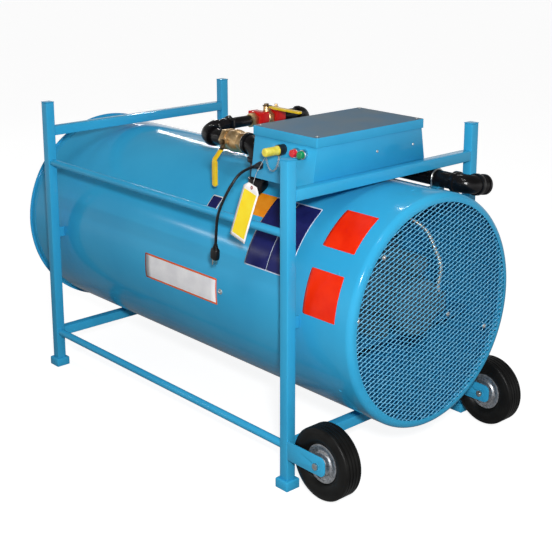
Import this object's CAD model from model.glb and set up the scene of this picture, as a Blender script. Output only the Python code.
import math

import bmesh
import bpy
import numpy as np
from mathutils import Matrix, Vector


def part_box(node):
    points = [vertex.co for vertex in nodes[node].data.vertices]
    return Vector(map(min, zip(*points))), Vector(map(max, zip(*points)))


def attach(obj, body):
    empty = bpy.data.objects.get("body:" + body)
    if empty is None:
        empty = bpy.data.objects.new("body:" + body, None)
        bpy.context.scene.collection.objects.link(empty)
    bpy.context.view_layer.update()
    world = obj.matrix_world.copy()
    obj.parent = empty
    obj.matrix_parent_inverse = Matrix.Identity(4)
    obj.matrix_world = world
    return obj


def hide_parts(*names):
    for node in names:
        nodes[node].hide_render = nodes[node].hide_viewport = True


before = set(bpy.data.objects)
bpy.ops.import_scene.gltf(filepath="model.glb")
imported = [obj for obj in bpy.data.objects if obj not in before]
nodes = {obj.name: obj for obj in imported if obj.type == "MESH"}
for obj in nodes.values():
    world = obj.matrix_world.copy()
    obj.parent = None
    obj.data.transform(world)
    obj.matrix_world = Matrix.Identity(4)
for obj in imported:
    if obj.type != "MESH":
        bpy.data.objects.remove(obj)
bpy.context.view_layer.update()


# ---------------------------------------------------------------- camera
# The photograph is taken from the intake end on the near side, from a little above a
# standing person's eye, with a long lens whose centre lies above the picture's middle.
look_down, look_round = 0.2422, 2.4053  # radians below level, and from +X round to the view

camera = bpy.data.objects.new("camera", bpy.data.cameras.new("camera"))
bpy.context.scene.collection.objects.link(camera)
bpy.context.scene.camera = camera
camera.location = (3.3266, -2.8726, 1.9433)
camera.rotation_euler = (math.pi / 2 - look_down, 0.0, look_round - math.pi / 2)
camera.data.sensor_width = 36.0
camera.data.lens = 74.396
camera.data.shift_x = -0.0038
camera.data.shift_y = -0.1647
camera.data.clip_start = 0.05
camera.data.clip_end = 200.0


# ---------------------------------------------------------------- power cord and plug
# A short lead of round rubber-sheathed flexible cord. It leaves the dome nut under the
# box, bends over the side rail and hangs down outside it, with a moulded plug at its end.
def linear(hex_code):
    """sRGB hex to linear: a channel c becomes ((c + 0.055) / 1.055) ** 2.4, or c / 12.92 when dark."""
    channels = [int(hex_code[i : i + 2], 16) / 255 for i in (1, 3, 5)]
    curved = [c / 12.92 if c <= 0.04045 else ((c + 0.055) / 1.055) ** 2.4 for c in channels]
    return (*curved, 1.0)


def add(tree, kind, inputs=(), **settings):
    """Adds a node. Sockets take a value, or another node's output to link from."""
    node = tree.nodes.new("ShaderNode" + kind)
    for name, value in settings.items():
        setattr(node, name, value)
    for socket, value in dict(inputs).items():
        if isinstance(value, bpy.types.NodeSocket):
            tree.links.new(value, node.inputs[socket])
        else:
            node.inputs[socket].default_value = value
    return node


def new_finish(name, **shader_values):
    """A material with one principled shader, its sockets set, and the tree to build on."""
    material = bpy.data.materials.new(name)
    material.use_nodes = True
    tree = material.node_tree
    shader = tree.nodes["Principled BSDF"]
    for socket, value in shader_values.items():
        shader.inputs[socket.replace("_", " ")].default_value = value
    return material, tree, shader


def two_tones(tree, coordinates, patch_mm, first, second, detail=4.0, low=0.35, high=0.65):
    """Noise in patches of a real size between two hex colours: its value goes from low..high to 0..1."""
    noise = add(tree, "TexNoise", {"Vector": coordinates, "Scale": 1000 / patch_mm, "Detail": detail})
    ramp = add(tree, "ValToRGB", {"Fac": noise.outputs["Fac"]})
    ramp.color_ramp.elements[0].position = low
    ramp.color_ramp.elements[0].color = linear(first)
    ramp.color_ramp.elements[1].position = high
    ramp.color_ramp.elements[1].color = linear(second)
    return ramp.outputs["Color"]


def grain(tree, shader, coordinates, grain_mm, depth_mm, detail=3.0):
    """Bump from noise: crests lie grain_mm apart, and the surface rises and falls by depth_mm."""
    noise = add(tree, "TexNoise", {"Vector": coordinates, "Scale": 1000 / grain_mm, "Detail": detail})
    bump = add(tree, "Bump", {"Height": noise.outputs["Fac"], "Distance": depth_mm / 1000, "Strength": 1.0})
    tree.links.new(bump.outputs["Normal"], shader.inputs["Normal"])
    return noise.outputs["Fac"]


def varied(tree, shader, value, socket, low, high):
    """A shader value that follows a 0..1 pattern between low and high."""
    mapped = add(tree, "MapRange", {"Value": value, "To Min": low, "To Max": high})
    tree.links.new(mapped.outputs["Result"], shader.inputs[socket])


def plain_finish(name, tones, patch_mm, roughness, grain_mm, depth_mm, **shader_values):
    """A finish of two mottled tones, with a fine bump whose crests and hollows differ in roughness.

    Grain that is under a millimetre on the real piece is drawn about 1 mm wide, so that it shows.
    """
    material, tree, shader = new_finish(name, **shader_values)
    place = add(tree, "TexCoord").outputs["Object"]
    tree.links.new(two_tones(tree, place, patch_mm, *tones), shader.inputs["Base Color"])
    varied(tree, shader, grain(tree, shader, place, grain_mm, depth_mm), "Roughness", *roughness)
    return material


def shape(name, grids, finish, replaces=(), shut=True, crease=40.0, touching=0.00001):
    """A piece of the heater's body from grids of points, each with whether its rows and columns go round.

    Four neighbours in a grid make a face. Points that touch become one, which closes seams
    and poles, and a shut piece has its faces turned outwards.
    """
    spots, faces, start = [], [], 0
    for points, rows_round, columns_round in grids:
        points = np.asarray(points, float)
        rows, columns = points.shape[:2]
        row, column = np.meshgrid(
            np.arange(rows - (not rows_round)), np.arange(columns - (not columns_round)), indexing="ij"
        )
        below, beside = (row + 1) % rows * columns, (column + 1) % columns
        corners = (row * columns + column, below + column, below + beside, row * columns + beside)
        faces.append(start + np.stack(corners, -1).reshape(-1, 4))
        spots.append(points.reshape(-1, 3))
        start += rows * columns
    mesh = bpy.data.meshes.new(name)
    mesh.from_pydata(np.concatenate(spots).tolist(), [], np.concatenate(faces).tolist())
    work = bmesh.new()
    work.from_mesh(mesh)
    bmesh.ops.remove_doubles(work, verts=work.verts, dist=touching)
    bmesh.ops.dissolve_degenerate(work, edges=work.edges, dist=touching / 2)
    if shut:
        bmesh.ops.recalc_face_normals(work, faces=work.faces)
    work.to_mesh(mesh)
    work.free()
    mesh.polygons.foreach_set("use_smooth", np.ones(len(mesh.polygons), bool))
    piece = bpy.data.objects.new(name, mesh)
    bpy.context.scene.collection.objects.link(piece)
    piece.data.materials.append(finish)
    if crease:
        split = piece.modifiers.new("crease", "EDGE_SPLIT")
        split.split_angle = math.radians(crease)
    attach(piece, "heater")
    if replaces:
        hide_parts(*replaces)
    return piece


def upright(origin, along, sideways=(1.0, 0.0, 0.0)):
    """Three unit rows: across, up and along, for a section carried along a direction."""
    along = np.asarray(along, float) / np.linalg.norm(along)
    across = np.asarray(sideways, float) - np.dot(sideways, along) * along
    across /= np.linalg.norm(across)
    return np.asarray(origin, float), np.stack([across, np.cross(along, across), along])


def lofted(place, stations, steps=32):
    """Closed rounded-oblong sections along a line.

    Each station is (distance, half width, half thickness, squareness). At angle a the section's
    point is half width * |cos a| ** (2 / squareness) with the sign of cos a, and the same with
    sin a and the half thickness. The first and last sections shrink to points.
    """
    origin, axes = place
    station = np.asarray(stations, float)
    station = np.concatenate([station[:1], station, station[-1:]])
    station[[0, -1], 1:3] = 0.0
    turn = np.linspace(0, 2 * np.pi, steps, endpoint=False)
    power = 2.0 / station[:, 3:4]
    across = station[:, 1:2] * np.sign(np.cos(turn)) * np.abs(np.cos(turn)) ** power
    rise = station[:, 2:3] * np.sign(np.sin(turn)) * np.abs(np.sin(turn)) ** power
    ahead = np.broadcast_to(station[:, :1], across.shape)
    return origin + np.stack([across, rise, ahead], -1) @ axes, False, True


def turned(profile):
    """Stations of a round bar for lofted, from its distances along the line and its radii."""
    return [(distance, radius, radius, 2.0) for distance, radius in profile]


# Chloroprene rubber sheath: extruded, a little shiny along its length, greyer where handled.
cord_rubber = plain_finish(
    "extruded_rubber_sheath", ("#09090A", "#131314"), 25.0, (0.28, 0.42), grain_mm=1.11, depth_mm=0.1,
    IOR=1.52, Specular_IOR_Level=0.25,
)

cord_radius = 0.005
cord_route = [
    (0.4365, -0.371, 1.063),
    (0.4335, -0.421, 1.057),
    (0.4205, -0.459, 1.006),
    (0.4025, -0.484, 0.945),
    (0.3895, -0.494, 0.894),
    (0.3835, -0.493, 0.844),
    (0.3765, -0.491, 0.796),
]
curve = bpy.data.curves.new("cord_lead", "CURVE")
curve.dimensions = "3D"
curve.resolution_u = 24
curve.bevel_depth = cord_radius
curve.bevel_resolution = 6
spline = curve.splines.new("NURBS")
spline.points.add(len(cord_route) - 1)
for point, spot in zip(spline.points, cord_route):
    point.co = (*spot, 1.0)
spline.order_u = 3
spline.use_endpoint_u = True
lead = bpy.data.objects.new("cord_lead", curve)
bpy.context.scene.collection.objects.link(lead)
lead.data.materials.append(cord_rubber)
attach(lead, "heater")
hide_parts("power_cord")

# The plug is moulded on the cord: a ribbed neck, then an oblong body with a blunt front.
neck_length, neck_radius, rib_pitch, rib_height = 0.014, 0.0066, 0.0035, 0.0006
flare_wide, flare_thick = 0.36, 0.17  # growth of the neck's half width and half thickness
plug_end = np.array(cord_route[-1])
plug_place = upright(plug_end, plug_end - np.array(cord_route[-2]))
neck = np.linspace(0.0, neck_length, 15)
ribs = rib_height * np.cos(neck / rib_pitch * 2 * np.pi)
plug_sections = [
    (step, neck_radius + flare_wide * step + rib, neck_radius + flare_thick * step + rib, 2.0)
    for step, rib in zip(neck, ribs)
]
plug_sections += [
    (0.0165, 0.0148, 0.0105, 2.6),
    (0.021, 0.0164, 0.0119, 3.2),
    (0.034, 0.0168, 0.0123, 3.4),
    (0.048, 0.0166, 0.0121, 3.4),
    (0.0535, 0.0160, 0.0115, 3.2),
    (0.0549, 0.0148, 0.0103, 3.0),
]
plug_body = shape(
    "plug_body", [lofted(plug_place, plug_sections)], cord_rubber, crease=50.0
)

# Nickel-plated brass pins: two stamped flat blades and a round earth pin, bright and a
# little warm from the brass below.
nickel = plain_finish(
    "nickel_plated_brass", ("#B9B4A6", "#D3CEC1"), 5.0, (0.2, 0.34), grain_mm=1.11, depth_mm=0.05,
    Metallic=1.0,
)
blade_offset, blade_drop, earth_rise = 0.00635, 0.003, 0.0089
plug_front, blade_tip, pin_tip = 0.0545, 0.0737, 0.0749
blade_sections = [
    (plug_front, 0.00075, 0.00315, 8.0),
    (blade_tip, 0.00075, 0.00315, 8.0),
    (pin_tip, 0.0004, 0.0024, 6.0),
]
earth_sections = turned([(plug_front, 0.0024), (0.0729, 0.0024), (0.0744, 0.0017), (pin_tip, 0.0008)])
plug_middle, plug_axes = plug_place
pins = []
for side in (-1, 1):
    blade_middle = plug_middle + side * blade_offset * plug_axes[0] - blade_drop * plug_axes[1]
    pins.append(lofted((blade_middle, plug_axes), blade_sections))
pins.append(lofted((plug_middle + earth_rise * plug_axes[1], plug_axes), earth_sections, 20))
plug_pins = shape("plug_pins", pins, nickel)
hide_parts("power_plug")
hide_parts("power_plug")


# ---------------------------------------------------------------- blue enamel and tube frame
# Posts, cross tubes, feet and wheel arms are mild steel, welded and sprayed with one gloss
# enamel after assembly, so every blue piece has the same skin over its seams.
def dress(names, finish, rounding=0.0, segments=2, seam=0.00002, rounded_from=38.0, sharp_from=36.0):
    """Gives CAD nodes a finish. Their loose triangles are joined, and edges rounded and shaded smooth."""
    for name in names:
        piece = nodes[name]
        piece.data.materials.clear()
        piece.data.materials.append(finish)
        piece.data.polygons.foreach_set("use_smooth", np.ones(len(piece.data.polygons), bool))
        weld = piece.modifiers.new("weld", "WELD")
        weld.merge_threshold = seam
        if rounding:
            bevel = piece.modifiers.new("rounding", "BEVEL")
            bevel.width = rounding
            bevel.segments = segments
            bevel.limit_method = "ANGLE"
            bevel.angle_limit = math.radians(rounded_from)
            bevel.use_clamp_overlap = True
        split = piece.modifiers.new("crease", "EDGE_SPLIT")
        split.split_angle = math.radians(sharp_from)


def enamel(name, tones, dust=None, inner=None):
    """Sprayed gloss enamel: wet-looking, with broad soft mottling and a faint orange peel.

    Dust is the two tones of a dull film that lies on flat tops, and inner those of the thin
    coat inside the drum, which begins at the middle of the drum's sheet.
    """
    material, tree, shader = new_finish(name, IOR=1.5, Specular_IOR_Level=0.16)
    place = add(tree, "TexCoord").outputs["Object"]
    colour = two_tones(tree, place, 333.0, *tones, detail=5.0)
    # The gloss drifts over hand widths.
    drift = add(tree, "TexNoise", {"Vector": place, "Scale": 1000 / 143.0, "Detail": 4.0})
    gloss = add(tree, "MapRange", {"Value": drift.outputs["Fac"], "To Min": 0.1, "To Max": 0.18})
    rough = gloss.outputs["Result"]
    if dust:
        # Dust lies on faces within 8 degrees of level, and thins out to none at 32.
        facing = add(tree, "SeparateXYZ", {"Vector": add(tree, "NewGeometry").outputs["Normal"]})
        up = add(tree, "MapRange", {"Value": facing.outputs["Z"], "From Min": 0.85, "From Max": 0.99})
        film = two_tones(tree, place, 200.0, *dust, detail=5.0)
        colour = add(
            tree, "Mix", {0: up.outputs["Result"], 6: colour, 7: film}, data_type="RGBA"
        ).outputs[2]
        dull = add(tree, "Math", {0: up.outputs["Result"], 1: 0.5}, operation="MULTIPLY")
        rough = add(tree, "Math", {0: rough, 1: dull.outputs["Value"]}, operation="MAXIMUM").outputs[0]
    if inner:
        spot = add(tree, "SeparateXYZ", {"Vector": place})
        height = add(tree, "Math", {0: spot.outputs["Z"], 1: drum_height}, operation="SUBTRACT")
        radial = add(tree, "CombineXYZ", {"Y": spot.outputs["Y"], "Z": height.outputs["Value"]})
        reach = add(tree, "VectorMath", {0: radial.outputs["Vector"]}, operation="LENGTH")
        within = add(
            tree, "Math", {0: reach.outputs["Value"], 1: drum_radius - half_sheet}, operation="LESS_THAN"
        )
        thin = two_tones(tree, place, 200.0, *inner, detail=5.0)
        colour = add(
            tree, "Mix", {0: within.outputs["Value"], 6: colour, 7: thin}, data_type="RGBA"
        ).outputs[2]
    tree.links.new(colour, shader.inputs["Base Color"])
    tree.links.new(rough, shader.inputs["Roughness"])
    grain(tree, shader, place, grain_mm=6.25, depth_mm=0.04, detail=1.0)
    return material


paint_tones = ("#32A1D0", "#3AA9D6")
blue_enamel = enamel("gloss_enamel_blue", paint_tones)
dress(
    ["corner_posts", "upper_cross_tubes", "lower_cross_tubes", "feet", "post_caps"],
    blue_enamel,
    rounding=0.0028,
    segments=3,
)
dress(["wheel_arms", "drum_tabs", "pipe_saddle", "box_stand"], blue_enamel, rounding=0.001)
dress(["upper_side_rails", "lower_side_rails"], blue_enamel)


# ---------------------------------------------------------------- drum, discharge rim, intake collar
# The casing is rolled from sheet and welded, with a turned-out rim at the warm end. A spun
# collar with a rolled lip is lapped over it at the intake, and both wear the same enamel.
drum_radius, drum_height, half_sheet = 0.4143, 0.58455, 0.0007
setback = 0.0125  # from the middle of the four posts to the origin, along the drum

drum_enamel = enamel("gloss_enamel_blue_drum", paint_tones, inner=("#1A6592", "#2173A2"))
dress(["drum_shell"], drum_enamel)
dress(["discharge_rim", "intake_collar"], blue_enamel)


def weld_spot(along, angle, radius=0.006, height=0.0022, sunk=0.0002):
    """A low dome on the drum: at share s of its radius it rises by height * sqrt(1 - s * s)."""
    turn, share = np.meshgrid(
        np.linspace(0, 2 * np.pi, 16, endpoint=False), np.linspace(1, 0, 6), indexing="ij"
    )
    rise = drum_radius - sunk + height * np.sqrt(1 - share**2)
    around = angle + radius * share * np.sin(turn) / drum_radius
    x = along - setback + radius * share * np.cos(turn)
    return np.stack([x, rise * np.cos(around), drum_height + rise * np.sin(around)], -1), True, False


# Plug welds in a row behind the collar's edge hold the ring that the fan wall sits on.
weld_row, weld_angles = 0.865, range(212, 572, 60)
plug_welds = [weld_spot(weld_row, math.radians(angle)) for angle in weld_angles]
shape("plug_welds", plug_welds, blue_enamel, shut=False)


# ---------------------------------------------------------------- intake guard
# Flattened expanded steel: a sheet that is slit and stretched to diamonds, cut round and
# painted with the drum. Its strands lie tilted to the sheet, which catches the light.
def expanded_strands(radius, x, long_way, short_way, width, thickness, tilt):
    """Strands that run across the disc.

    Strand k lies at the height k * short_way / 2 and zigzags by a quarter of short_way, flat
    for one tenth of long_way at each turn, where it meets the strand above or below it. Every
    second strand is the mirror image. Its section is an oblong turned by tilt about its length.
    """
    count = int(2 * radius / short_way) - 1
    periods = int(radius / long_way) + 1
    level = np.arange(-count, count + 1)
    flat = 0.05 * long_way
    knots = np.array([-flat, flat, long_way / 2 - flat, long_way / 2 + flat])
    run = (np.arange(-periods, periods + 1)[:, None] * long_way + knots).ravel()
    zigzag = np.tile([1.0, 1.0, -1.0, -1.0], 2 * periods + 1) * short_way / 4
    middle = level[:, None] * short_way / 2
    reach = np.sqrt(np.maximum(radius**2 - middle**2, 0.0))
    across = np.clip(run, -reach, reach)
    zigzag = np.where(level % 2, -1, 1)[:, None] * zigzag
    height = middle + np.where(np.abs(run) > reach, 0.0, zigzag)
    corner = np.array([[1, 1], [1, -1], [-1, -1], [-1, 1]]) * (thickness / 2, width / 2)
    lean = np.array([[math.cos(tilt), math.sin(tilt)], [-math.sin(tilt), math.cos(tilt)]])
    corner = corner @ lean
    points = np.empty((len(level), len(run) + 2, 4, 3))
    points[:, 1:-1, :, 0] = x + corner[:, 0]
    points[:, 1:-1, :, 1] = across[:, :, None]
    points[:, 1:-1, :, 2] = drum_height + height[:, :, None] + corner[:, 1]
    points[:, 0] = points[:, 1].mean(1, keepdims=True)
    points[:, -1] = points[:, -2].mean(1, keepdims=True)
    return points


guard_low, guard_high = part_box("intake_guard")
guard_plane = (guard_low[0] + guard_high[0]) / 2
strands = expanded_strands(
    radius=0.3905, x=guard_plane, long_way=0.0406, short_way=0.0166, width=0.0031, thickness=0.0012,
    tilt=1.0,
)
# On strands this narrow the enamel draws back from the slit edges, which leaves them paler.
guard_enamel = plain_finish(
    "thin_enamel_on_guard", ("#57AFDB", "#78C1E4"), 16.7, (0.2, 0.32), grain_mm=2.5, depth_mm=0.1,
    Specular_IOR_Level=0.5,
)
shape(
    "guard_mesh", [(row, False, True) for row in strands], guard_enamel,
    replaces=["intake_guard"], crease=30.0,
)


# ---------------------------------------------------------------- plates and labels
# Die-cut vinyl films with rounded corners, stuck on the finished drum. All are left blank: a
# white plate in an orange border, dark blue and orange panels and two red ones.
def label(name, along, heights, finish, corner=0.006, layer=1, thickness=0.00012):
    """A film on the drum's near side, between two places along it and two heights.

    Row s runs round the drum, and its half length is that of the label, less corner, plus
    sqrt(corner ** 2 - (how far s is into the corner) ** 2).
    """
    radius = drum_radius + layer * thickness
    start, end = np.arcsin((np.asarray(heights) - drum_height) / radius) * radius
    half_height, half_length = (end - start) / 2, (along[1] - along[0]) / 2
    bend = corner * (1 - np.cos(np.linspace(0, np.pi / 2, 7)))
    straight = np.linspace(corner - half_height, half_height - corner, 14)[1:-1]
    s = np.concatenate([bend - half_height, straight, (half_height - bend)[::-1]])
    into = np.maximum(np.abs(s) - (half_height - corner), 0.0)
    half = half_length - corner + np.sqrt(np.maximum(corner**2 - into**2, 0.0))
    u = np.linspace(-1, 1, 15)
    x = (along[0] + along[1]) / 2 - setback + half[:, None] * u
    angle = np.broadcast_to(((start + end) / 2 + s)[:, None] / radius, x.shape)
    points = np.stack([x, -radius * np.cos(angle), drum_height + radius * np.sin(angle)], -1)
    film = shape(name, [(points, False, False)], finish, shut=False, crease=0)
    sheet = film.modifiers.new("film", "SOLIDIFY")
    sheet.thickness = thickness
    sheet.offset = 1.0


def vinyl(name, *tones):
    """Calendered vinyl film: even in colour, smooth, with the faint waves of the drum under it."""
    return plain_finish(
        name, tones, 71.4, (0.14, 0.26), grain_mm=8.33, depth_mm=0.04, IOR=1.5, Specular_IOR_Level=0.14
    )


white_film = vinyl("calendered_vinyl_white", "#E4E3E6", "#F2F1F2")
orange_border = vinyl("calendered_vinyl_border", "#DD5A22", "#E4652C")
navy_film = vinyl("calendered_vinyl_navy", "#171A4E", "#212560")
red_film = vinyl("calendered_vinyl_red", "#E62303", "#F02F08")
amber_film = vinyl("calendered_vinyl_amber", "#E8820C", "#F29722")
pale_film = vinyl("calendered_vinyl_pale", "#B7C4DC", "#CBD5E8")

label("name_plate_border", (-0.143, 0.295), (0.530, 0.630), orange_border, corner=0.004)
label("name_plate_face", (-0.1365, 0.2885), (0.5368, 0.6232), white_film, corner=0.002, layer=2)
label("red_label_upper", (0.748, 0.897), (0.841, 0.942), red_film)
label("red_label_lower", (0.744, 0.897), (0.623, 0.774), red_film)
label("navy_label_edge", (0.424, 0.656), (0.715, 0.928), pale_film)
label("navy_label_left", (0.4275, 0.538), (0.7185, 0.9255), navy_film, corner=0.004, layer=2)
label("navy_label_right", (0.540, 0.6525), (0.7185, 0.9255), navy_film, corner=0.004, layer=2)
label("amber_label", (0.336, 0.430), (0.866, 0.927), amber_film)
label("corner_label_edge", (0.124, 0.182), (0.846, 0.889), white_film, corner=0.004)
label("corner_label_face", (0.1275, 0.1785), (0.8487, 0.8865), navy_film, corner=0.003, layer=2)


# ---------------------------------------------------------------- fan, motor and burner
# Inside the drum: a bell-mouthed wall, a ribbed electric motor with its terminal box, a
# sheet-metal fan on its shaft, and behind them the steel burner head in its liner.
motor_enamel = enamel("sprayed_grey_motor_enamel", ("#3F5A69", "#4D6979"))
# Rolled aluminium that has drawn in building dust: a dull grey with little mirror left.
fan_metal = plain_finish(
    "dusty_rolled_aluminium", ("#54687A", "#6B7F90"), 50.0, (0.4, 0.55), grain_mm=3.33, depth_mm=0.1,
    Metallic=0.6,
)
# Bare steel by the flame: brown and grey heat colours, matt with thin scale.
hot_steel = plain_finish(
    "heat_tinted_steel", ("#7A7068", "#98928C"), 167.0, (0.35, 0.6), grain_mm=16.7, depth_mm=0.3,
    Metallic=1.0,
)
dress(["fan_bulkhead", "motor_bracket"], drum_enamel)
dress(["motor_body"], motor_enamel, rounding=0.001)
dress(["fan_wheel"], fan_metal, rounding=0.0006)
dress(["combustion_liner", "burner_head", "electrodes"], hot_steel)


# ---------------------------------------------------------------- bright steel fastenings
# Bolts, screws, U-bolt, fan shaft and the tag's wire are zinc plated: grey-white, softly
# bright and slightly cloudy from the chromate dip.
zinc = plain_finish(
    "zinc_plated_steel", ("#B9BABA", "#D6D6D2"), 16.7, (0.22, 0.4), grain_mm=2.5, depth_mm=0.1,
    Metallic=1.0,
)
dress(["axle_bolts", "u_bolt", "cover_screws", "fan_shaft", "tag_wire"], zinc, rounding=0.0005)


slantwise = (0.31, 0.57, 0.76)  # a direction that no head or ring faces


def pan_head(centre, normal, radius, height, turns=20, sunk=0.0003):
    """A pan head: at angle t, from 0 to a right angle, its radius is radius * cos(t) ** 0.5.

    Its height there is height * sin(t), and its foot is sunk in what it sits on.
    """
    centre, axes = upright(centre, normal, slantwise)
    t, turn = np.meshgrid(
        np.linspace(0, np.pi / 2, 8), np.linspace(0, 2 * np.pi, turns, endpoint=False), indexing="ij"
    )
    out = radius * np.cos(t) ** 0.5
    local = np.stack([out * np.cos(turn), out * np.sin(turn), height * np.sin(t) - sunk], -1)
    return centre + local @ axes, False, True


# Screws with wide washers hold the guard behind the lip, and a stud stands beside the plate.
washer_lift = 0.0016  # of a washer's foot above the middle of the guard
head_lift = 0.001  # of a head above the foot of its washer
guard_screws = []
for y, z in ((0.073, 0.559), (-0.378, 0.645), (0.2805, 0.462), (-0.261, 0.834)):
    washer_foot = (guard_plane + washer_lift, y, z)
    head_foot = (guard_plane + washer_lift + head_lift, y, z)
    guard_screws.append(pan_head(washer_foot, (1, 0, 0), radius=0.0085, height=0.0012))
    guard_screws.append(pan_head(head_foot, (1, 0, 0), radius=0.005, height=0.0035))
stud_along, stud_height = 0.316 - setback, 0.587
stud_angle = math.asin((stud_height - drum_height) / drum_radius)
stud_way = np.array([0.0, -math.cos(stud_angle), math.sin(stud_angle)])
stud_foot = np.array([stud_along, 0.0, drum_height]) + drum_radius * stud_way
guard_screws.append(pan_head(stud_foot, stud_way, radius=0.011, height=0.0016))
stud_foot = stud_foot + head_lift * stud_way
guard_screws.append(pan_head(stud_foot, stud_way, radius=0.0055, height=0.008))
shape("guard_screws", guard_screws, zinc, crease=50.0)


# ---------------------------------------------------------------- motor lead in its conduit
# Flexible steel conduit wound from interlocked strip hangs from the control box to the
# motor's terminal box, where a die-cast connector grips it.
def wound_conduit(knots, radius, rise, pitch):
    """A ridged tube on a smooth line through the knots, each stretch a cubic in its share of the way.

    At length s its radius is radius + rise * sin(pi * s / pitch) ** 2.
    """
    knots = np.asarray(knots, float)
    ends = np.concatenate([[2 * knots[0] - knots[1]], knots, [2 * knots[-1] - knots[-2]]])
    share = np.linspace(0, 1, 60)[:, None]
    pieces = []
    for before, first, second, after in zip(ends, ends[1:], ends[2:], ends[3:]):
        leave, arrive = (second - before) / 2, (after - first) / 2
        cubic = 2 * first - 2 * second + leave + arrive
        square = 3 * second - 3 * first - 2 * leave - arrive
        pieces.append(first + leave * share + square * share**2 + cubic * share**3)
    line = np.concatenate([piece[:-1] for piece in pieces] + [pieces[-1][-1:]])
    length = np.concatenate([[0], np.cumsum(np.linalg.norm(np.diff(line, axis=0), axis=1))])
    stops = np.linspace(0, length[-1], int(length[-1] / pitch * 4))
    middle = np.stack([np.interp(stops, length, line[:, axis]) for axis in range(3)], -1)
    along = np.gradient(middle, axis=0)
    along /= np.linalg.norm(along, axis=1, keepdims=True)
    across = np.cross(along, (1.0, 0.0, 0.0))
    across /= np.linalg.norm(across, axis=1, keepdims=True)
    upward = np.cross(along, across)
    reach = radius + rise * np.sin(np.pi * stops / pitch) ** 2
    turn = np.linspace(0, 2 * np.pi, 14, endpoint=False)
    ring = np.cos(turn)[None, :, None] * across[:, None] + np.sin(turn)[None, :, None] * upward[:, None]
    return middle[:, None] + reach[:, None, None] * ring, False, True


conduit_knots = [
    (0.6835, 0.0, 1.016),
    (0.6835, 0.0, 0.962),
    (0.7675, 0.024, 0.9),
    (0.8365, 0.075, 0.841),
    (0.8605, 0.104, 0.768),
    (0.8755, 0.12, 0.7),
    (0.8635, 0.118, 0.622),
]
# Galvanised strip, rolled to a ridge and wound: a soft grey-white that warms in the hollows.
strip_steel = plain_finish(
    "galvanised_conduit_strip", ("#A9A498", "#CFCBC0"), 3.33, (0.3, 0.45), grain_mm=1.11, depth_mm=0.1,
    Metallic=0.9,
)
conduit = wound_conduit(conduit_knots, radius=0.0072, rise=0.0014, pitch=0.0052)
shape("conduit_tube", [conduit], strip_steel, replaces=["motor_conduit"], crease=0)

connector_place = upright((0.8635, 0.118, 0.6088), (0, 0, 1))
hexagon = lofted(connector_place, turned([(0.0, 0.0137), (0.009, 0.0137)]), 6)
barrel = lofted(connector_place, turned([(0.009, 0.0112), (0.025, 0.0112), (0.026, 0.0102)]), 28)
shape("conduit_connector", [hexagon, barrel], zinc, replaces=["motor_conduit"])


# ---------------------------------------------------------------- gas train
# Black malleable iron fittings and black-painted pipe, two brass ball valves with vinyl
# dipped handles, and a red enamelled solenoid valve at each side of the small one.

# Cast iron with a baked black coat: nearly black, glossy over a gentle foundry texture.
black_iron = plain_finish(
    "black_malleable_iron", ("#080708", "#121012"), 33.3, (0.12, 0.3), grain_mm=5.0, depth_mm=0.4,
    IOR=1.5, Specular_IOR_Level=0.28,
)
# Sand-cast brass, tumbled and left bare: warm, satin, a little darker in patches.
brass = plain_finish(
    "cast_brass", ("#B48E5C", "#DDC093"), 22.2, (0.3, 0.5), grain_mm=3.125, depth_mm=0.4, Metallic=1.0
)
red_enamel = enamel("sprayed_red_enamel", ("#B90E12", "#CE1E1C"))
dress(
    [
        "inlet_adaptor", "inlet_elbow", "inlet_pipe", "inlet_riser", "crossing_pipes", "valve_union",
        "supply_elbow", "burner_drop", "drum_bushing", "burner_riser",
    ],
    black_iron,
    rounding=0.002,
)
dress(["gas_control_valves"], red_enamel, rounding=0.0012)
dress(["brass_fittings", "ball_valve_bodies"], brass, rounding=0.0015)


def dipped(name, axis, low, high, wave=0.0015):
    """A plated steel handle dipped in yellow vinyl, whose soft wavy edge lies between low and high."""
    material, tree, shader = new_finish(name, IOR=1.52)
    place = add(tree, "TexCoord").outputs["Object"]
    along = add(tree, "SeparateXYZ", {"Vector": place}).outputs[axis]
    waves = add(tree, "TexNoise", {"Vector": place, "Scale": 1000 / 8.33, "Detail": 2.0})
    offset = add(tree, "MapRange", {"Value": waves.outputs["Fac"], "To Min": -wave, "To Max": wave})
    moved = add(tree, "Math", {0: along, 1: offset.outputs["Result"]}, operation="ADD")
    dip = add(tree, "MapRange", {"Value": moved.outputs["Value"], "From Min": low, "From Max": high})
    vinyl_colour = two_tones(tree, place, 40.0, "#E9BE08", "#F6D21C")
    steel_colour = two_tones(tree, place, 11.1, "#3E2F1E", "#6E5A3C")
    colour = add(
        tree, "Mix", {0: dip.outputs["Result"], 6: steel_colour, 7: vinyl_colour}, data_type="RGBA"
    ).outputs[2]
    tree.links.new(colour, shader.inputs["Base Color"])
    varied(tree, shader, dip.outputs["Result"], "Metallic", 0.85, 0.0)
    varied(tree, shader, grain(tree, shader, place, 3.33, 0.1), "Roughness", 0.22, 0.36)
    return material


dress(["main_valve_lever"], dipped("dipped_vinyl_yellow", "Z", 1.068, 1.066), rounding=0.001)
dress(["small_valve_lever"], dipped("dipped_vinyl_yellow_small", "X", 0.042, 0.044), rounding=0.001)


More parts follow.
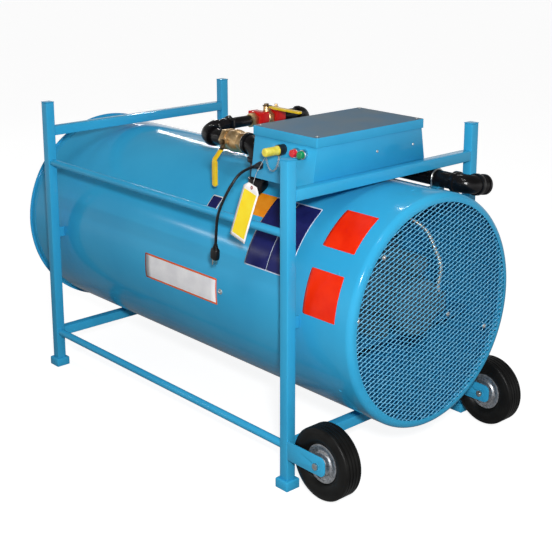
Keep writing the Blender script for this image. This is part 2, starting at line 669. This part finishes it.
# Sealing compound squeezed out of the large ball valve's threads stands as a rough white
# ring at each of its mouths.
def squeezed_ring(centre, normal, radius, tube):
    """A ring whose section is an oval, with the points (radius + thick * cos s, 0.6 * thick * sin s).

    Thick is tube * (1 + sin(9 * turn) / 4 + 0.15 * sin(17 * turn + 1)), so the ring is uneven.
    """
    origin, axes = upright(centre, normal, slantwise)
    turn, section = np.meshgrid(
        np.linspace(0, 2 * np.pi, 48, endpoint=False),
        np.linspace(0, 2 * np.pi, 8, endpoint=False),
        indexing="ij",
    )
    thick = tube * (1 + 0.25 * np.sin(9 * turn) + 0.15 * np.sin(17 * turn + 1))
    reach = radius + thick * np.cos(section)
    local = np.stack([reach * np.cos(turn), reach * np.sin(turn), 0.6 * thick * np.sin(section)], -1)
    return origin + local @ axes, True, True


seal_paste = plain_finish(
    "thread_sealing_paste", ("#D5D2CB", "#EDEBE6"), 3.33, (0.5, 0.65), grain_mm=2.0, depth_mm=0.3,
    IOR=1.45,
)
valve_line_y, valve_line_z = -0.22, 1.094
drop_mouth = (0.247 - setback, valve_line_y, valve_line_z)
supply_mouth = (0.1275 - setback, valve_line_y, valve_line_z)
mouths = [
    squeezed_ring(drop_mouth, (1, 0, 0), radius=0.0375, tube=0.0022),
    squeezed_ring(supply_mouth, (1, 0, 0), radius=0.0312, tube=0.0016),
]
shape("thread_seals", mouths, seal_paste, crease=0)


# ---------------------------------------------------------------- control box
# Folded sheet-steel box whose sides lean outwards, with a screwed lid. It is sprayed with
# the frame, and its flat lid has a thin film of dust.
box_enamel = enamel("gloss_enamel_blue_box", paint_tones, dust=("#4F728B", "#66767F"))
dress(["control_box_body", "control_box_lid"], box_enamel, rounding=0.0012)


# ---------------------------------------------------------------- buttons, socket and grip
# Moulded nylon and ABS parts in the box's near side: two push buttons in their bright
# bezels, a socket with a yellow cap on it, and the cord's grip.
def moulded(name, *tones, patch_mm=16.7, roughness=(0.2, 0.34), grain_mm=2.0, depth_mm=0.05, IOR=1.53):
    """Injection-moulded plastic: one even colour, with a satin gloss from the mould."""
    return plain_finish(name, tones, patch_mm, roughness, grain_mm, depth_mm, IOR=IOR)


black_nylon = moulded(
    "moulded_nylon_black", "#121213", "#1D1D1F", patch_mm=20.0, roughness=(0.25, 0.4), grain_mm=1.43,
    depth_mm=0.1,
)
red_plastic = moulded("moulded_abs_red", "#D01B26", "#DE2A34")
green_plastic = moulded("moulded_abs_green", "#078048", "#109254")
yellow_cap = moulded(
    "moulded_vinyl_yellow", "#D9C733", "#EFE164", roughness=(0.3, 0.45), depth_mm=0.1, IOR=1.52
)
# Chromed brass bezels: near white and mirror-like, hazed by handling.
bright_ring = plain_finish(
    "chromed_bezel", ("#C9CCCF", "#E2E4E6"), 16.7, (0.16, 0.3), grain_mm=2.0, depth_mm=0.04, Metallic=1.0
)
dress(["receptacle", "cord_grip", "control_modules"], black_nylon, rounding=0.0006)
dress(["button_bezels"], bright_ring, rounding=0.0006)
dress(["red_button"], red_plastic)
dress(["green_button"], green_plastic)
dress(["watertight_cap"], yellow_cap)


def twisted_chain(ends, sag, pitch=0.0052, half_width=0.0029, wire=0.00085):
    """Wire links along a hanging curve, each turned a quarter from the last.

    At share t of the way the curve drops by sag * (1 - |2 t - 1| ** 2.6). A link's centre line
    is an oval, with the points (reach * cos a, half_width * sin a), and its wire is round.
    """
    start, end = np.asarray(ends, float)
    fine = np.linspace(0, 1, 400)
    line = start + fine[:, None] * (end - start)
    line[:, 2] -= sag * (1 - np.abs(2 * fine - 1) ** 2.6)
    length = np.concatenate([[0], np.cumsum(np.linalg.norm(np.diff(line, axis=0), axis=1))])
    count = int(length[-1] / pitch)
    stops = (np.arange(count) + 0.5) * length[-1] / count
    middles = np.stack([np.interp(stops, length, line[:, axis]) for axis in range(3)], -1)
    ways = np.stack([np.interp(stops, length, np.gradient(line[:, axis])) for axis in range(3)], -1)
    oval = np.linspace(0, 2 * np.pi, 14, endpoint=False)
    tube = np.linspace(0, 2 * np.pi, 5, endpoint=False)
    reach = length[-1] / count / 2 + wire
    centre = np.stack([half_width * np.sin(oval), 0 * oval, reach * np.cos(oval)], -1)
    outward = np.stack([np.sin(oval), 0 * oval, np.cos(oval)], -1)[:, None]
    sideways = np.array([0.0, 1.0, 0.0])
    ring = centre[:, None] + wire * (
        np.cos(tube)[None, :, None] * outward + np.sin(tube)[None, :, None] * sideways
    )
    links = []
    for number, (middle, way) in enumerate(zip(middles, ways)):
        origin, axes = upright(middle, way)
        turn = number * np.pi / 2 + 0.6
        spin = np.array([[np.cos(turn), np.sin(turn), 0], [-np.sin(turn), np.cos(turn), 0], [0, 0, 1]])
        links.append((origin + ring @ spin @ axes, True, True))
    return links


chain_x, chain_sag, eye_inset = 0.5405, 0.0475, 0.0014
cap_drop, socket_drop = 0.003, 0.006
chain_low, chain_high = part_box("bead_chain")
chain_ends = (
    (chain_x, chain_low[1] + eye_inset, chain_high[2] - cap_drop),
    (chain_x, chain_high[1] - eye_inset, chain_high[2] - socket_drop),
)
chain_links = twisted_chain(chain_ends, chain_sag)
shape("cap_chain", chain_links, zinc, replaces=["bead_chain"], crease=0)


# ---------------------------------------------------------------- hang tag
# Coated card on a thin wire, printed yellow inside a white margin, with a bare white top
# and a fibre washer round its hole. It leans on the side rail with a slight curl.

# Coated card is smooth and barely shines, its flood of yellow ink a little more, and the
# washer is vulcanised fibre, dull and speckled red-brown.
white_card = plain_finish(
    "coated_tag_card", ("#EFEBE8", "#F8F6F4"), 33.3, (0.4, 0.55), grain_mm=1.43, depth_mm=0.08, IOR=1.5
)
yellow_print = plain_finish(
    "printed_yellow_card", ("#FFDE12", "#FFE62C"), 50.0, (0.36, 0.5), grain_mm=1.43, depth_mm=0.06,
    IOR=1.5,
)
red_fibre = plain_finish(
    "pressed_fibre_washer", ("#7E2F22", "#9A4030"), 2.5, (0.5, 0.6), grain_mm=1.11, depth_mm=0.1, IOR=1.5
)
tag_length, tag_half, tag_clip, card_thickness = 0.200, 0.0405, 0.018, 0.0008
print_low, print_high, print_half, print_lift = 0.0125, 0.1735, 0.0325, 0.00015
hole_height, hole_radius, fibre_radius, fibre_lift = 0.189, 0.0022, 0.0062, 0.0006
lean, roll = math.radians(9.0), math.radians(13.5)
rail_front = -0.4791  # the side rail's near side, which the tag rests on
rest_height = 0.058  # of the rail above the tag's foot
tag_up = np.array([0.0, math.sin(lean), math.cos(lean)])
tag_face = np.array([0.0, -math.cos(lean), math.sin(lean)])
tag_across = np.array([math.cos(roll), 0.0, 0.0]) - math.sin(roll) * tag_up
tag_along = np.cross(tag_face, tag_across)
tag_foot = np.array([0.502 - setback, rail_front - rest_height * math.tan(lean), 0.841])


def on_card(middle, across, along, lift):
    """Places on the card's plane: middle, moved across the card, along it and off its face."""
    return (
        middle + across[..., None] * tag_across + along[..., None] * tag_along + lift[..., None] * tag_face
    )


def tag_sheet(low, high, half, clip, lift):
    """Rows up the card. Near the top the half width shrinks by as much as the row is above the clip.

    The card curls off its plane by 1.2 mm * sin(pi * row / length) + across * across / 2 m.
    """
    rows = np.linspace(low, high - clip, 20)
    if clip:
        rows = np.append(rows, high)
    reach = half - np.maximum(rows - (high - clip), 0.0)
    across = reach[:, None] * np.linspace(1, -1, 9)
    rows = np.broadcast_to(rows[:, None], across.shape)
    curl = 0.0012 * np.sin(rows / tag_length * np.pi) + 0.5 * across**2 + lift
    return on_card(tag_foot, across, rows, curl)


def washer(middle, inner, outer, lift, thickness=0.0012):
    """A flat ring whose section is an oval from the inner radius to the outer."""
    turn, tube = np.meshgrid(
        np.linspace(0, 2 * np.pi, 24, endpoint=False),
        np.linspace(0, 2 * np.pi, 8, endpoint=False),
        indexing="ij",
    )
    reach = (inner + outer) / 2 + (outer - inner) / 2 * np.cos(tube)
    rise = lift + thickness / 2 * np.sin(tube)
    return on_card(middle, reach * np.cos(turn), reach * np.sin(turn), rise)


card = shape(
    "tag_card", [(tag_sheet(0.0, tag_length, tag_half, tag_clip, 0.0), False, False)], white_card,
    replaces=["hang_tag"], shut=False, crease=0,
)
body = card.modifiers.new("card", "SOLIDIFY")
body.thickness = card_thickness
body.offset = -1.0
shape(
    "tag_print", [(tag_sheet(print_low, print_high, print_half, 0.0, print_lift), False, False)],
    yellow_print, shut=False, crease=0,
)
hole_ring = washer(tag_foot + hole_height * tag_along, hole_radius, fibre_radius, fibre_lift)
shape("tag_washer", [(hole_ring, True, True)], red_fibre, crease=0)


# ---------------------------------------------------------------- wheels
# Pressed steel rims with a spangled zinc coat, and solid black rubber tyres with a ribbed
# tread, which keep a low shine from the mould.
tyre_rubber = plain_finish(
    "moulded_tyre_rubber", ("#0C0C0C", "#151514"), 55.6, (0.34, 0.5), grain_mm=2.0, depth_mm=0.2,
    IOR=1.52, Specular_IOR_Level=0.16,
)
dress(["tyre_near", "tyre_far"], tyre_rubber)

spangled_zinc, tree, shader = new_finish("hot_dipped_zinc", Metallic=0.85)
place = add(tree, "TexCoord").outputs["Object"]
# Zinc crystals are 5 mm across, each with its own brightness and gloss.
crystals = add(tree, "TexVoronoi", {"Vector": place, "Scale": 1000 / 5.0})
shade = add(tree, "SeparateColor", {"Color": crystals.outputs["Color"]})
clean = add(tree, "ValToRGB", {"Fac": shade.outputs["Red"]})
clean.color_ramp.elements[0].color = linear("#8A8C90")
clean.color_ramp.elements[1].color = linear("#C4C6C9")
tree.links.new(clean.outputs["Color"], shader.inputs["Base Color"])
varied(tree, shader, shade.outputs["Green"], "Roughness", 0.3, 0.52)
dress(["rim_near", "rim_far"], spangled_zinc, rounding=0.0012)


# ---------------------------------------------------------------- floor and light
# A wide white floor that fills the view, a small flash by the camera, weak soft light from
# the other sides, and narrow tubes far off that draw bright lines along the drum.
def background_rays(tree, other, camera, mirrored):
    """A strength for what the camera sees, one for what mirrors and glass see, and another for the rest."""
    path = add(tree, "LightPath")
    either = add(
        tree, "Math", {0: path.outputs["Is Glossy Ray"], 1: path.outputs["Is Transmission Ray"]},
        operation="MAXIMUM",
    )
    strength = add(tree, "Mix", {0: either.outputs["Value"], 2: other, 3: mirrored})
    return add(
        tree, "Mix", {0: path.outputs["Is Camera Ray"], 2: strength.outputs[0], 3: camera}
    ).outputs[0]


floor_glow, floor_half = 0.88, 40.0
shade_reach, shade_end, shade_glow = 1.5, 6.0, 0.08
floor_paint, tree, shader = new_finish("matt_white_floor", Roughness=0.9, Specular_IOR_Level=0.1)
shader.inputs["Base Color"].default_value = linear("#969696")
shader.inputs["Emission Color"].default_value = linear("#FFFFFF")
# Mirrors see the floor dim in the object's shade, and white from where the shade ends.
place = add(tree, "TexCoord").outputs["Object"]
reach = add(tree, "VectorMath", {0: place}, operation="LENGTH")
shaded = add(tree, "MapRange", {"Value": reach.outputs["Value"], "From Min": shade_reach})
shaded.inputs["From Max"].default_value = shade_end
shaded.inputs["To Min"].default_value = shade_glow
shaded.inputs["To Max"].default_value = floor_glow
glow = background_rays(tree, other=0.0, camera=floor_glow, mirrored=shaded.outputs["Result"])
tree.links.new(glow, shader.inputs["Emission Strength"])
floor_corners = [(-floor_half, -floor_half, 0), (floor_half, -floor_half, 0)]
floor_corners += [(floor_half, floor_half, 0), (-floor_half, floor_half, 0)]
floor_mesh = bpy.data.meshes.new("floor")
floor_mesh.from_pydata(floor_corners, [], [(0, 1, 2, 3)])
floor = bpy.data.objects.new("floor", floor_mesh)
floor.data.materials.append(floor_paint)
bpy.context.scene.collection.objects.link(floor)


def lamp(name, spot, aim, size, power, across=(0.0, 0.0, 1.0)):
    """An oblong area light at spot that faces aim. Its width, the first of size, runs along across."""
    light = bpy.data.lights.new(name, "AREA")
    light.shape = "RECTANGLE"
    light.size, light.size_y = size
    light.energy = power
    holder = bpy.data.objects.new(name, light)
    bpy.context.scene.collection.objects.link(holder)
    away = (Vector(spot) - Vector(aim)).normalized()
    width = (Vector(across) - Vector(across).dot(away) * away).normalized()
    height = away.cross(width)
    holder.matrix_world = Matrix.Translation(spot) @ Matrix((width, height, away)).transposed().to_4x4()


lamp("flash", (3.45, -2.75, 2.35), (0.2, -0.1, 0.6), (0.3, 0.3), 150.0)
lamp("ceiling_near", (1.6, -1.6, 4.2), (0.6, 0.0, 0.6), (1.2, 0.06), 24.0, across=(1.0, 0.0, 0.0))
lamp("ceiling_far", (-1.2, 1.4, 4.2), (0.0, 0.0, 0.6), (1.2, 0.045), 15.0, across=(1.0, 0.0, 0.0))
lamp("tube_far", (-4.6, 3.0, 2.85), (-0.3, 0.0, 1.0), (1.25, 0.05), 12.0, across=(0.98, 0.0, 0.74))
lamp("tube_near", (-4.2, -3.95, 2.58), (0.25, -0.37, 0.77), (0.75, 0.05), 8.0, across=(0.57, -0.3, -0.04))

world = bpy.data.worlds.new("studio")
world.use_nodes = True
bpy.context.scene.world = world
tree = world.node_tree
tree.nodes["Background"].inputs["Color"].default_value = linear("#FFFFFF")
# Mirrors see the white backdrop just above the horizon, and a dim ceiling overhead.
way = add(tree, "SeparateXYZ", {"Vector": add(tree, "TexCoord").outputs["Generated"]})
ceiling = add(
    tree, "MapRange",
    {"Value": way.outputs["Z"], "From Min": 0.06, "From Max": 0.36, "To Min": 1.0, "To Max": 0.2},
)
glow = background_rays(tree, other=0.25, camera=1.0, mirrored=ceiling.outputs["Result"])
tree.links.new(glow, tree.nodes["Background"].inputs["Strength"])
bpy.context.scene.view_settings.view_transform = "Standard"
